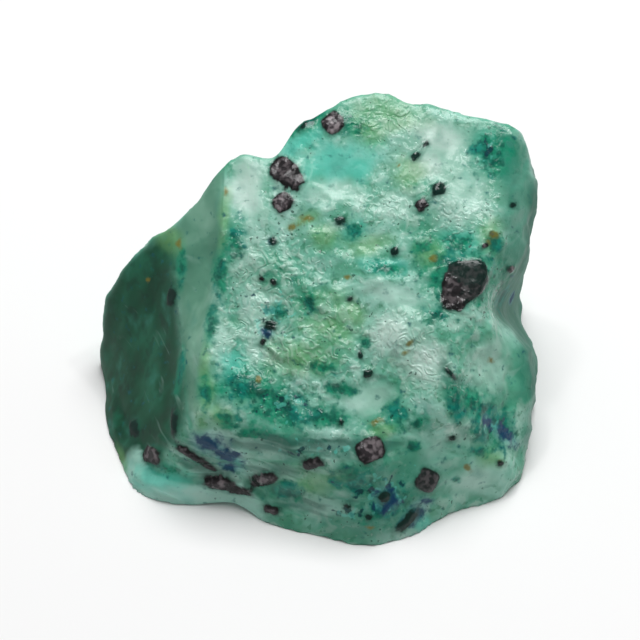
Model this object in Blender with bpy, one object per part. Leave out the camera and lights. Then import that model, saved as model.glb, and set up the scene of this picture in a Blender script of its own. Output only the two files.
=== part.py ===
"""Rough phoenix stone: one broken lump of blue-green mineral, as it comes out of the ground.

The lump is a block bounded by the faces that it broke along, with rounded edges. On top of that
come its larger swells and hollows, the shell-shaped scars of the break, a low foot along its left
side and thin layers at its front. It lies on a flat face cut at z = 0.

Sizes are in millimetres and angles in degrees until the mesh is made, which is in metres.
The stone's front looks towards -Y, its left side is at -X and it stands on z = 0.
"""
import bmesh
import bpy
import math
import numpy as np

METRE = 0.001  # one millimetre

# ---------------------------------------------------------------------------------------------
# Driving dimensions
# ---------------------------------------------------------------------------------------------

# A point well inside the stone. The surface is found by going out from here in every direction.
HEART = np.array((0.0, 1.0, 9.0))

# How crisp the edges between two broken faces are. A higher value gives a tighter rounding.
EDGE_CRISPNESS = 44.0

# Each broken face: its name, the compass direction it looks towards (0 is +X, 90 is +Y), how far
# it looks up, and one point on it.
BROKEN_FACES = (
    ("left", 200, 27, (-13.1, 7.9, 17.8)),
    ("left foot", 184, -2, (-20.5, 2.0, 4.0)),
    ("left edge strip", 214, 44, (-8.6, 6.4, 20.4)),
    ("slope, lower", 266, 54, (0.0, -8.0, 10.9)),
    ("slope, middle", 267, 56, (0.0, 0.0, 16.4)),
    ("slope, upper", 268, 62, (0.0, 5.0, 19.7)),
    ("crown, right", 318, 74, (17.0, 11.0, 23.7)),
    ("right shoulder", 334, 36, (19.0, 0.0, 14.2)),
    ("right lobe", 316, 30, (11.6, -6.6, 12.0)),
    ("front, left", 255, 20, (0.0, -15.1, 0.0)),
    ("front nose", 287, 27, (6.6, -15.6, 0.0)),
    ("front, right", 302, 18, (12.2, -12.8, 0.0)),
    ("front left corner", 222, 16, (-17.0, -7.6, 0.5)),
    ("right", 357, 3, (19.7, 8.0, 13.0)),
    ("right, front", 336, 8, (19.4, -6.0, 4.0)),
    ("back, far right", 62, 6, (18.0, 13.0, 22.0)),
    ("back, right", 80, 4, (10.0, 15.6, 20.0)),
    ("back", 103, 2, (2.0, 16.0, 16.0)),
    ("back, left", 119, 6, (-4.3, 12.9, 20.0)),
    ("back, far left", 110, 3, (-17.0, 9.6, 6.0)),
    ("underside", 0, -90, (0.0, 0.0, -0.4)),
)

# The smoother faces, which carry only a quarter of the small relief.
SMOOTH_FACES = ("left", "left foot", "left edge strip")
SMOOTH_FACE_RELIEF = 0.25

# Swells (rise above 0) and hollows (rise below 0): centre, reach and rise.
SWELLS = (
    ((-6.5, 8.0, 21.8), 2.4, -0.7),  # pale shoulder at the top of the left edge
    ((-4.6, 12.0, 23.0), 2.0, -1.3),  # dip between the shoulder and the crown
    ((1.0, 13.0, 24.5), 4.0, 0.7),  # crown
    ((17.0, 12.0, 22.5), 2.5, 0.6),  # top right corner
    ((-19.2, 10.0, 9.5), 6.0, 4.0),  # belly of the left face
    ((17.5, -4.0, 6.5), 4.0, 0.2),  # lobe low on the right
    ((19.6, 2.6, 13.4), 2.8, -0.6),  # notch above the lobe
    ((9.0, -2.0, 14.6), 2.8, 0.7),  # pale lump on the slope
    ((3.0, 3.0, 18.0), 3.5, -0.5),  # shallow dish in the middle of the slope
    ((6.5, -8.5, 10.0), 2.6, -0.7),  # hollow above the nose
    ((7.0, 17.0, 8.0), 7.0, -1.5),  # hollow in the back
    ((-8.0, 13.0, 13.0), 5.0, 0.9),  # swell in the back
    ((21.0, 7.0, 7.0), 5.0, -0.8),  # hollow in the right side
    ((13.0, -11.0, 3.0), 3.0, 0.4),  # low front right
    ((16.2, -10.5, 1.0), 2.4, 0.7),  # toe at the front right
    ((-8.3, -13.5, 0.5), 4.2, -2.7),  # hollow in the foot
)

# Ridges (rise above 0) and grooves (rise below 0) along a line: its two ends, reach and rise.
RIDGES = (
    ((-8.4, 7.5, 21.4), (-11.0, -9.0, 9.8), 1.0, 0.4),  # rim between the slope and the left edge strip
    ((10.4, -3.5, 13.8), (11.2, -9.5, 8.6), 1.5, 0.5),  # crest between the slope and the right lobe
    ((18.0, 2.0, 14.0), (12.5, 0.0, 15.2), 1.8, -0.3),  # groove that runs in from the notch
    ((-3.4, 11.5, 23.4), (-3.0, 3.0, 18.6), 1.4, -0.45),  # gutter beside the pale shoulder
    ((19.5, 1.0, 13.3), (19.5, 12.0, 1.5), 3.0, -2.2),  # groove down the right side
    ((14.5, -9.5, 5.5), (18.5, -3.0, 9.5), 1.3, -0.45),  # crease across the lobe
)

# The foot: a low ledge that stands out round the left side and the left of the front.
FOOT_HEIGHT = 3.1
FOOT_RISE = 0.8
FOOT_STEP_WIDTH = 0.6
FOOT_TOP_SLOPE, FOOT_TOP_WAVE = 0.05, 0.25
FOOT_LEFT, FOOT_FRONT = (-2.0, -8.0), (2.0, -3.0)  # how it sets in towards the left and the front

# The thin layers that show as small steps at the left of the front.
LAYER_THICKNESS = 1.3
LAYER_STEP = 0.28
LAYER_UP = np.array((0.33, 0.25, 0.91))
LAYER_WAVER = 0.35

# Where they show: how they set in towards the left, downwards and towards the front, and how wide
# the patches with and without layers are.
LAYERED_LEFT, LAYERED_BELOW, LAYERED_FRONT = (-3.0, -8.0), (9.5, 7.5), (-6.0, -9.0)
LAYERED_PATCH = 7.5

# Uneven relief: wavelength and height of the broad swell and of the finer one.
BROAD_WAVE, BROAD_HEIGHT = 12.0, 0.28
FINE_WAVE, FINE_HEIGHT = 5.0, 0.12

# Scars of the break: width of one shell-shaped bowl and the depth of its rim.
BIG_SCAR, BIG_SCAR_DEPTH = 5.0, 0.60
SMALL_SCAR, SMALL_SCAR_DEPTH = 2.2, 0.22
SCAR_WARP = 0.5
SCAR_MIDDLE = 0.25  # the middle height of a scar, which leaves the surface where it was

# How much of the small relief is lost in hollows, and the depths between which that sets in.
HOLLOW_CALM = 0.85
HOLLOW_DEPTHS = (0.3, 1.2)

# The mesh: rows of quads along each side of the starting box, and the share of the faces kept.
ROWS = 80
BOX_HALF_SIZE = np.array((20.0, 16.0, 13.5))
KEPT_SHARE = 0.115


# ---------------------------------------------------------------------------------------------
# Helpers
# ---------------------------------------------------------------------------------------------

def facing(compass, tilt):
    """Unit vector that looks towards a compass direction and tilts up from level."""
    turn, lift = math.radians(compass), math.radians(tilt)
    return np.array((math.cos(lift) * math.cos(turn), math.cos(lift) * math.sin(turn), math.sin(lift)))


def ramp(start, end, value):
    """0 before start, 1 after end, and an S-shaped rise between them."""
    share = np.clip((value - start) / (end - start), 0.0, 1.0)
    return share * share * (3.0 - 2.0 * share)


def waves(points, length, seed, count=24):
    """Uneven field of about unit height: plane waves of random direction, length and phase, summed."""
    rng = np.random.default_rng(seed)
    along = rng.normal(size=(count, 3))
    along /= np.linalg.norm(along, axis=1)[:, None]
    along *= 2.0 * np.pi / length * rng.uniform(0.7, 1.4, (count, 1))
    phase = rng.uniform(0.0, 2.0 * np.pi, count)
    return np.cos(points @ along.T + phase).sum(axis=1) * math.sqrt(2.0 / count)


def scars(points, width, seed, lean=0.4, period=24):
    """Bowls with crisp rims, as shell-shaped fracture leaves.

    Space is divided into cells, each with a bowl at a random place in it that leans in a random
    direction. The surface takes the lowest of the bowls around it: near 0 inside, near 1 on a rim.
    """
    rng = np.random.default_rng(seed)
    place = rng.random((period, period, period, 3))
    tilt = rng.uniform(-lean, lean, (period, period, period, 3))
    spot = points / width
    home = np.floor(spot).astype(int)
    lowest = np.full(len(points), 9.0)
    for step in np.ndindex(3, 3, 3):
        cell = home + step - 1
        key = tuple((cell % period).T)
        off = spot - cell - place[key]
        lowest = np.minimum(lowest, (off * (off + tilt[key])).sum(axis=1))
    return lowest


# ---------------------------------------------------------------------------------------------
# The stone's form
# ---------------------------------------------------------------------------------------------

def reach_of_faces(directions):
    """How strongly each broken face closes the stone off in each direction, one column per face.

    It is the inverse of the distance from the heart to that face's plane.
    """
    columns = []
    for _, compass, tilt, point in BROKEN_FACES:
        normal = facing(compass, tilt)
        distance = normal @ (np.array(point) - HEART)
        columns.append(np.maximum(directions @ normal, 0.0) / distance)
    return np.stack(columns, axis=1)


def mound(points, start, end, reach, rise):
    """Height of a rounded mound along the line from start to end, or round one point if they meet."""
    start, along = np.array(start), np.subtract(end, start)
    share = np.clip((points - start) @ along / max(along @ along, 1e-9), 0.0, 1.0)
    gap = points - start - share[:, None] * along
    return rise * np.exp(-(gap**2).sum(axis=1) / reach**2)


def foot_share(points):
    """1 on the foot's ledge, which stands out at the left up to its top, and 0 elsewhere."""
    x, y, z = points.T
    foot_top = FOOT_HEIGHT + FOOT_TOP_SLOPE * x + FOOT_TOP_WAVE * waves(points, FINE_WAVE, seed=4)
    foot_side = ramp(*FOOT_LEFT, x) * ramp(*FOOT_FRONT, y)
    return foot_side * ramp(FOOT_STEP_WIDTH / 2, -FOOT_STEP_WIDTH / 2, z - foot_top)


def relief(points, smooth_share):
    """Height of everything that stands on the plain block, in millimetres."""
    x, y, z = points.T
    height = np.zeros(len(points))
    for centre, reach, rise in SWELLS:
        height += mound(points, centre, centre, reach, rise)
    for start, end, reach, rise in RIDGES:
        height += mound(points, start, end, reach, rise)
    open_ground = 1.0 - HOLLOW_CALM * ramp(*HOLLOW_DEPTHS, -height)

    height += FOOT_RISE * foot_share(points)

    layered = ramp(*LAYERED_LEFT, x) * ramp(*LAYERED_BELOW, z) * ramp(*LAYERED_FRONT, y)
    layered *= ramp(-1.2, 0.4, waves(points, LAYERED_PATCH, seed=33))
    layer = points @ LAYER_UP / LAYER_THICKNESS + LAYER_WAVER * waves(points, LAYERED_PATCH, seed=31)
    place_in_layer = layer - np.floor(layer)
    height += LAYER_STEP * layered * (ramp(0.0, 0.7, place_in_layer) - ramp(0.7, 1.0, place_in_layer))

    rough = open_ground * (1.0 - (1.0 - SMOOTH_FACE_RELIEF) * smooth_share)
    bent = points + SCAR_WARP * np.stack([waves(points, 4.0, seed) for seed in (21, 22, 23)], axis=1)
    height += BROAD_HEIGHT * waves(points, BROAD_WAVE, seed=11)
    height += rough * FINE_HEIGHT * waves(points, FINE_WAVE, seed=12)
    height += rough * BIG_SCAR_DEPTH * (scars(bent, BIG_SCAR, seed=5) - SCAR_MIDDLE)
    height += rough * SMALL_SCAR_DEPTH * (scars(bent, SMALL_SCAR, seed=6) - SCAR_MIDDLE)
    return height


def stone_surface(directions):
    """Surface points of the stone in the given unit directions from its heart.

    The block's radius is the smooth least of the distances to its faces: the inverse distances are
    summed to a high power. The relief is then added along the same direction.
    """
    strength = reach_of_faces(directions) ** EDGE_CRISPNESS
    radius = strength.sum(axis=1) ** (-1.0 / EDGE_CRISPNESS)
    is_smooth = [name in SMOOTH_FACES for name, _, _, _ in BROKEN_FACES]
    smooth_share = strength[:, is_smooth].sum(axis=1) / strength.sum(axis=1)
    points = HEART + directions * radius[:, None]
    radius += relief(points, smooth_share)
    return HEART + directions * radius[:, None]


# ---------------------------------------------------------------------------------------------
# Building
# ---------------------------------------------------------------------------------------------

def clear_scene():
    for item in list(bpy.data.objects):
        bpy.data.objects.remove(item)


def stone_material():
    material = bpy.data.materials.new("blue-green rough stone")
    material.use_nodes = True
    shader = material.node_tree.nodes["Principled BSDF"]
    shader.inputs["Base Color"].default_value = (0.13, 0.33, 0.24, 1.0)
    shader.inputs["Roughness"].default_value = 0.35
    shader.inputs["Metallic"].default_value = 0.0
    return material


def box_mesh():
    """A box of even quads, which the stone's surface is drawn on."""
    shell = bmesh.new()
    bmesh.ops.create_cube(shell, size=2.0)
    bmesh.ops.subdivide_edges(shell, edges=shell.edges[:], cuts=ROWS - 1, use_grid_fill=True)
    mesh = bpy.data.meshes.new("phoenix_stone")
    shell.to_mesh(mesh)
    shell.free()
    return mesh


def shape_stone(mesh):
    """Move the box's vertices onto the stone, centred on the origin as seen from above."""
    corners = np.empty(3 * len(mesh.vertices))
    mesh.vertices.foreach_get("co", corners)
    directions = corners.reshape(-1, 3) * BOX_HALF_SIZE
    directions /= np.linalg.norm(directions, axis=1)[:, None]
    points = stone_surface(directions)
    middle = (points.min(axis=0) + points.max(axis=0)) / 2.0
    points -= middle * (1.0, 1.0, 0.0)
    mesh.vertices.foreach_set("co", (points * METRE).ravel())
    mesh.update()


def ground_cutter():
    """A slab with its top at z = 0, which cuts the stone's resting face flat."""
    depth = 0.010
    bpy.ops.mesh.primitive_cube_add(size=1.0, location=(0.0, 0.0, -depth / 2))
    cutter = bpy.context.object
    cutter.name = "ground_cutter"
    cutter.dimensions = (0.100, 0.100, depth)
    cutter.hide_render = True
    cutter.display_type = "WIRE"
    return cutter


def build_stone():
    mesh = box_mesh()
    shape_stone(mesh)
    mesh.materials.append(stone_material())
    stone = bpy.data.objects.new("phoenix_stone", mesh)
    bpy.context.collection.objects.link(stone)

    facets = stone.modifiers.new("fewer facets", "DECIMATE")
    facets.ratio = KEPT_SHARE

    rest = stone.modifiers.new("flat resting face", "BOOLEAN")
    rest.operation = "DIFFERENCE"
    rest.solver = "EXACT"
    rest.object = ground_cutter()
    return stone


clear_scene()
build_stone()
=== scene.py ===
"""Rough phoenix stone, dressed: the broken lump with its sugary break, nodules, stains and gloss."""
import math

import bpy
import numpy as np
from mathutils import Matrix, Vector


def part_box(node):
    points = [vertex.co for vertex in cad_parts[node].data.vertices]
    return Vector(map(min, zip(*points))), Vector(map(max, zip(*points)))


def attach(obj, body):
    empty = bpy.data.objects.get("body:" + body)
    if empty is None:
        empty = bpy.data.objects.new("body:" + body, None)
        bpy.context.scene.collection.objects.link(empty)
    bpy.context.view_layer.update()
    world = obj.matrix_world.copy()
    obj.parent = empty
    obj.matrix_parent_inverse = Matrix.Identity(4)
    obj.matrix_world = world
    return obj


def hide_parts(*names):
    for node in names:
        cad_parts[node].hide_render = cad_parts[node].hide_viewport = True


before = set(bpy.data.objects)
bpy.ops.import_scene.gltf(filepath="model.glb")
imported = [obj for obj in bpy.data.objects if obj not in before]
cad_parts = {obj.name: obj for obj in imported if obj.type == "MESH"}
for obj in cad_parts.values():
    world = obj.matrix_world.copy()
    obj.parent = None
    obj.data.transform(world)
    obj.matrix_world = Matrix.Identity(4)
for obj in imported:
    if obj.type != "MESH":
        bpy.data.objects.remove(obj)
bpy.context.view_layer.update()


# =============================================================================================
# The broken block
#
# One lump of chalcedony stained by copper minerals, split from a seam along flat joints. The block
# is bounded by those broken faces, with rounded edges, swells, grooves and a low foot.
# =============================================================================================

MILLIMETRE = 0.001  # in metres; the stone is worked out in millimetres
TINY = 1e-9  # keeps a division clear of zero

# A point well inside the stone. The surface is found by going out from here in every direction.
HEART = np.array((0.0, 1.0, 9.0))

# How crisp the edges between two broken faces are. A higher value gives a tighter rounding.
EDGE_CRISPNESS = 44.0

# Each broken face: its name, the compass direction it looks towards (0 is +X, 90 is +Y), how far
# it looks up, and one point on it.
BROKEN_FACES = (
    ("left", 200, 27, (-13.1, 7.9, 17.8)),
    ("left foot", 184, -2, (-20.5, 2.0, 4.0)),
    ("left edge strip", 214, 44, (-8.6, 6.4, 20.4)),
    ("slope, lower", 266, 54, (0.0, -8.0, 10.9)),
    ("slope, middle", 267, 56, (0.0, 0.0, 16.4)),
    ("slope, upper", 268, 62, (0.0, 5.0, 19.7)),
    ("crown, right", 318, 74, (17.0, 11.0, 23.7)),
    ("right shoulder", 334, 36, (19.0, 0.0, 14.2)),
    ("right lobe", 316, 30, (11.6, -6.6, 12.0)),
    ("front, left", 255, 20, (0.0, -15.1, 0.0)),
    ("front nose", 287, 27, (6.6, -15.6, 0.0)),
    ("front, right", 302, 18, (12.2, -12.8, 0.0)),
    ("front left corner", 222, 16, (-17.0, -7.6, 0.5)),
    ("right", 357, 3, (19.7, 8.0, 13.0)),
    ("right, front", 336, 8, (19.4, -6.0, 4.0)),
    ("back, far right", 62, 6, (18.0, 13.0, 22.0)),
    ("back, right", 80, 4, (10.0, 15.6, 20.0)),
    ("back", 103, 2, (2.0, 16.0, 16.0)),
    ("back, left", 119, 6, (-4.3, 12.9, 20.0)),
    ("back, far left", 110, 3, (-17.0, 9.6, 6.0)),
    ("underside", 0, -90, (0.0, 0.0, -0.4)),
)

# The smoother faces, which carry only a quarter of the small relief.
SMOOTH_FACES = ("left", "left foot", "left edge strip")
SMOOTH_FACE_RELIEF = 0.25

# Swells (rise above 0) and hollows (rise below 0): centre, reach and rise.
SWELLS = (
    ((-6.5, 8.0, 21.8), 2.4, -0.7),  # pale shoulder at the top of the left edge
    ((-4.6, 12.0, 23.0), 2.0, -1.3),  # dip between the shoulder and the crown
    ((1.0, 13.0, 24.5), 4.0, 0.7),  # crown
    ((17.0, 12.0, 22.5), 2.5, 0.6),  # top right corner
    ((-19.2, 10.0, 9.5), 6.0, 4.0),  # belly of the left face
    ((17.5, -4.0, 6.5), 4.0, 0.2),  # lobe low on the right
    ((19.6, 2.6, 13.4), 2.8, -0.6),  # notch above the lobe
    ((9.0, -2.0, 14.6), 2.8, 0.7),  # pale lump on the slope
    ((3.0, 3.0, 18.0), 3.5, -0.5),  # shallow dish in the middle of the slope
    ((6.5, -8.5, 10.0), 2.6, -0.7),  # hollow above the nose
    ((7.0, 17.0, 8.0), 7.0, -1.5),  # hollow in the back
    ((-8.0, 13.0, 13.0), 5.0, 0.9),  # swell in the back
    ((21.0, 7.0, 7.0), 5.0, -0.8),  # hollow in the right side
    ((13.0, -11.0, 3.0), 3.0, 0.4),  # low front right
    ((16.2, -10.5, 1.0), 2.4, 0.7),  # toe at the front right
    ((-8.3, -13.5, 0.5), 4.2, -2.7),  # hollow in the foot
)

# Ridges (rise above 0) and grooves (rise below 0) along a line: its two ends, reach and rise.
RIDGES = (
    ((-8.4, 7.5, 21.4), (-11.0, -9.0, 9.8), 1.0, 0.4),  # rim between the slope and the left edge strip
    ((10.4, -3.5, 13.8), (11.2, -9.5, 8.6), 1.5, 0.5),  # crest between the slope and the right lobe
    ((18.0, 2.0, 14.0), (12.5, 0.0, 15.2), 1.8, -0.3),  # groove that runs in from the notch
    ((-3.4, 11.5, 23.4), (-3.0, 3.0, 18.6), 1.4, -0.45),  # gutter beside the pale shoulder
    ((19.5, 1.0, 13.3), (19.5, 12.0, 1.5), 3.0, -2.2),  # groove down the right side
    ((14.5, -9.5, 5.5), (18.5, -3.0, 9.5), 1.3, -0.45),  # crease across the lobe
)

# The foot: a low ledge that stands out round the left side and the left of the front.
FOOT_HEIGHT = 3.1
FOOT_RISE = 0.8
FOOT_STEP_WIDTH = 0.6
FOOT_TOP_SLOPE, FOOT_TOP_WAVE = 0.05, 0.25
FOOT_LEFT, FOOT_FRONT = (-2.0, -8.0), (2.0, -3.0)  # how it sets in towards the left and the front

# The thin layers that show as small steps at the left of the front.
LAYER_THICKNESS = 1.3
LAYER_STEP = 0.28
LAYER_LIP = 0.7  # how far up a layer its face bulges before it falls back
LAYER_UP = np.array((0.33, 0.25, 0.91))
LAYER_WAVER = 0.35

# Where they show: how they set in towards the left, downwards and towards the front, how wide the
# patches with and without layers are, and the heights of an uneven field between which they set in.
LAYERED_LEFT, LAYERED_BELOW, LAYERED_FRONT = (-3.0, -8.0), (9.5, 7.5), (-6.0, -9.0)
LAYERED_PATCH = 7.5
LAYERED_PART = (-1.2, 0.4)

# Uneven relief: wavelength and height of the broad swell and of the finer one.
BROAD_WAVE, BROAD_HEIGHT = 12.0, 0.28
FINE_WAVE, FINE_HEIGHT = 5.0, 0.12

# Scars of the break: width of one shell-shaped bowl and the depth of its rim.
BIG_SCAR, BIG_SCAR_DEPTH = 5.0, 0.60
SMALL_SCAR, SMALL_SCAR_DEPTH = 2.2, 0.22
CHIP_SCAR, CHIP_SCAR_DEPTH = 1.5, 0.30
SUGAR_SCAR, SUGAR_SCAR_DEPTH = 0.8, 0.13
SCAR_MIDDLE = 0.25  # the middle height of a scar, which leaves the surface where it was

# How far the scars of the three larger kinds are bent out of their even grid, and how widely.
SCAR_BEND, SCAR_BEND_WAVE = 0.5, 4.0

# The chips and the sugary scars come in patches: how wide they are, and the heights of an uneven
# field between which they set in.
CHIPPED_PATCH, SUGARED_PATCH = 6.0, 5.0
PATCH_PART = (-1.6, 1.0)

# How much of the small relief is lost in hollows, and the depths between which that sets in.
HOLLOW_CALM = 0.85
HOLLOW_DEPTHS = (0.3, 1.2)

# Cells of the starting box along x, y and z, which give quads about 0.25 mm across.
BOX_CELLS = np.array((156, 122, 106))
BOX_HALF_SIZE = np.array((20.0, 16.0, 13.5))


def facing(compass, tilt):
    """Unit vector that looks towards a compass direction and tilts up from level."""
    turn, lift = math.radians(compass), math.radians(tilt)
    return np.array((math.cos(lift) * math.cos(turn), math.cos(lift) * math.sin(turn), math.sin(lift)))


def ramp(start, end, value):
    """0 before start, 1 after end, and an S-shaped rise between them."""
    share = np.clip((value - start) / (end - start), 0.0, 1.0)
    return share * share * (3.0 - 2.0 * share)


def waves(points, length, seed, count=24):
    """Uneven field of about unit height: plane waves of random direction and phase, summed.

    Each wave's length lies between about 0.7 and 1.4 times the one given.
    """
    rng = np.random.default_rng(seed)
    along = rng.normal(size=(count, 3))
    along /= np.linalg.norm(along, axis=1)[:, None]
    along *= 2.0 * np.pi / length * rng.uniform(0.7, 1.4, (count, 1))
    phase = rng.uniform(0.0, 2.0 * np.pi, count)
    return np.cos(points @ along.T + phase).sum(axis=1) * math.sqrt(2.0 / count)


def scars(points, width, seed, lean=0.4, period=24):
    """Bowls with crisp rims, as shell-shaped fracture leaves.

    Space is divided into cells, each with a bowl at a random place in it that leans in a random
    direction. The surface takes the lowest of the bowls around it: near 0 inside, near 1 on a rim.
    """
    rng = np.random.default_rng(seed)
    place = rng.random((period, period, period, 3))
    tilt = rng.uniform(-lean, lean, (period, period, period, 3))
    spot = points / width
    home = np.floor(spot).astype(int)
    lowest = np.full(len(points), np.inf)
    for step in np.ndindex(3, 3, 3):
        cell = home + step - 1
        key = tuple((cell % period).T)
        off = spot - cell - place[key]
        lowest = np.minimum(lowest, (off * (off + tilt[key])).sum(axis=1))
    return lowest


def reach_of_faces(directions):
    """How strongly each broken face closes the stone off in each direction, one column per face.

    It is the inverse of the distance from the heart to that face's plane.
    """
    columns = []
    for _, compass, tilt, point in BROKEN_FACES:
        normal = facing(compass, tilt)
        distance = normal @ (np.array(point) - HEART)
        columns.append(np.maximum(directions @ normal, 0.0) / distance)
    return np.stack(columns, axis=1)


def mound(points, start, end, reach, rise):
    """Height of a rounded mound along the line from start to end, or round one point if they meet."""
    start, along = np.array(start), np.subtract(end, start)
    share = np.clip((points - start) @ along / max(along @ along, TINY), 0.0, 1.0)
    gap = points - start - share[:, None] * along
    return rise * np.exp(-(gap**2).sum(axis=1) / reach**2)


def foot_share(points):
    """1 on the foot's ledge, which stands out at the left up to its top, and 0 elsewhere."""
    x, y, z = points.T
    foot_top = FOOT_HEIGHT + FOOT_TOP_SLOPE * x + FOOT_TOP_WAVE * waves(points, FINE_WAVE, seed=4)
    foot_side = ramp(*FOOT_LEFT, x) * ramp(*FOOT_FRONT, y)
    return foot_side * ramp(FOOT_STEP_WIDTH / 2, -FOOT_STEP_WIDTH / 2, z - foot_top)


def relief(points, smooth_share):
    """Height of everything that stands on the plain block, in millimetres.

    It is the sum of the swells and ridges, the foot, the steps of the layers, two uneven swells and
    four sizes of scar. All that is small fades out in hollows and on the smooth faces.
    """
    x, y, z = points.T
    height = np.zeros(len(points))
    for centre, reach, rise in SWELLS:
        height += mound(points, centre, centre, reach, rise)
    for start, end, reach, rise in RIDGES:
        height += mound(points, start, end, reach, rise)
    open_ground = 1.0 - HOLLOW_CALM * ramp(*HOLLOW_DEPTHS, -height)

    height += FOOT_RISE * foot_share(points)

    layered = ramp(*LAYERED_LEFT, x) * ramp(*LAYERED_BELOW, z) * ramp(*LAYERED_FRONT, y)
    layered *= ramp(*LAYERED_PART, waves(points, LAYERED_PATCH, seed=33))
    layer = points @ LAYER_UP / LAYER_THICKNESS + LAYER_WAVER * waves(points, LAYERED_PATCH, seed=31)
    way_up = layer - np.floor(layer)
    height += LAYER_STEP * layered * (ramp(0.0, LAYER_LIP, way_up) - ramp(LAYER_LIP, 1.0, way_up))

    rough = open_ground * (1.0 - (1.0 - SMOOTH_FACE_RELIEF) * smooth_share)
    bends = [waves(points, SCAR_BEND_WAVE, seed) for seed in (21, 22, 23)]
    bent = points + SCAR_BEND * np.stack(bends, axis=1)
    height += BROAD_HEIGHT * waves(points, BROAD_WAVE, seed=11)
    height += rough * FINE_HEIGHT * waves(points, FINE_WAVE, seed=12)
    height += rough * BIG_SCAR_DEPTH * (scars(bent, BIG_SCAR, seed=5) - SCAR_MIDDLE)
    height += rough * SMALL_SCAR_DEPTH * (scars(bent, SMALL_SCAR, seed=6) - SCAR_MIDDLE)
    sugary = open_ground * (1.0 - smooth_share) ** 2
    chipped = sugary * ramp(*PATCH_PART, waves(points, CHIPPED_PATCH, seed=41))
    height += chipped * CHIP_SCAR_DEPTH * (scars(bent, CHIP_SCAR, seed=7, period=32) - SCAR_MIDDLE)
    sugared = sugary * ramp(*PATCH_PART, waves(points, SUGARED_PATCH, seed=42))
    height += sugared * SUGAR_SCAR_DEPTH * (scars(points, SUGAR_SCAR, seed=9, period=56) - SCAR_MIDDLE)
    return height


def block_and_relief(directions):
    """Surface points in the given unit directions from the heart, and each face's share in them.

    The block's radius is the smooth least of the distances to its faces: the inverse distances are
    summed to a high power. The relief is then added along the same direction, and the underside is
    cut flat at z = 0.
    """
    strength = reach_of_faces(directions) ** EDGE_CRISPNESS
    radius = strength.sum(axis=1) ** (-1.0 / EDGE_CRISPNESS)
    shares = strength / strength.sum(axis=1)[:, None]
    face_shares = {face[0]: share for face, share in zip(BROKEN_FACES, shares.T)}
    smooth_share = sum(face_shares[name] for name in SMOOTH_FACES)
    radius += relief(HEART + directions * radius[:, None], smooth_share)
    down = np.maximum(-directions[:, 2], TINY)
    radius = np.minimum(radius, HEART[2] / down)
    return HEART + directions * radius[:, None], face_shares


def box_skin(cells):
    """Whole-number lattice places on the outside of a box, and the quads that join them.

    Each of the six sides is a grid of two parameters. Places that two sides share are merged.
    """
    places, quads, count = [], [], 0
    for axis in range(3):
        second, third = (axis + 1) % 3, (axis + 2) % 3
        across, along = np.meshgrid(np.arange(cells[second] + 1), np.arange(cells[third] + 1), indexing="ij")
        number = np.arange(across.size).reshape(across.shape)
        corners = (number[:-1, :-1], number[1:, :-1], number[1:, 1:], number[:-1, 1:])
        side = np.stack([corner.ravel() for corner in corners], axis=1)
        for end, turn in ((0, side[:, ::-1]), (cells[axis], side)):
            place = np.empty((across.size, 3), int)
            place[:, axis] = end
            place[:, second] = across.ravel()
            place[:, third] = along.ravel()
            places.append(place)
            quads.append(turn + count)
            count += across.size
    places, first = np.unique(np.concatenate(places), axis=0, return_inverse=True)
    return places, first.ravel()[np.concatenate(quads)]


lattice, quads = box_skin(BOX_CELLS)
outward = (2.0 * lattice / BOX_CELLS - 1.0) * BOX_HALF_SIZE
outward /= np.linalg.norm(outward, axis=1)[:, None]
block, face_shares = block_and_relief(outward)


# =============================================================================================
# Nodules, grains, stains and painted shade
#
# Brown-black nodules of iron and copper oxide, ochre and blue azurite grains grew in the lump, and
# copper salts stained it in patches. Some patches are painted shade instead. Each has its place as
# seen from the front and above.
# =============================================================================================

# The front view: it looks down on the stone, and its places are millimetres right of and above
# the stone's lowest point in that view.
VIEW_LIFT = math.radians(47.0)
VIEW_DISTANCE = 373.0
VIEW_CENTRE = np.array((0.0, -1.16, 13.84))
VIEW_CENTRE_UP = 20.3
TOWARDS_VIEWER = np.array((0.0, -math.cos(VIEW_LIFT), math.sin(VIEW_LIFT)))
UP_THE_VIEW = np.array((0.0, math.sin(VIEW_LIFT), math.cos(VIEW_LIFT)))

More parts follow.
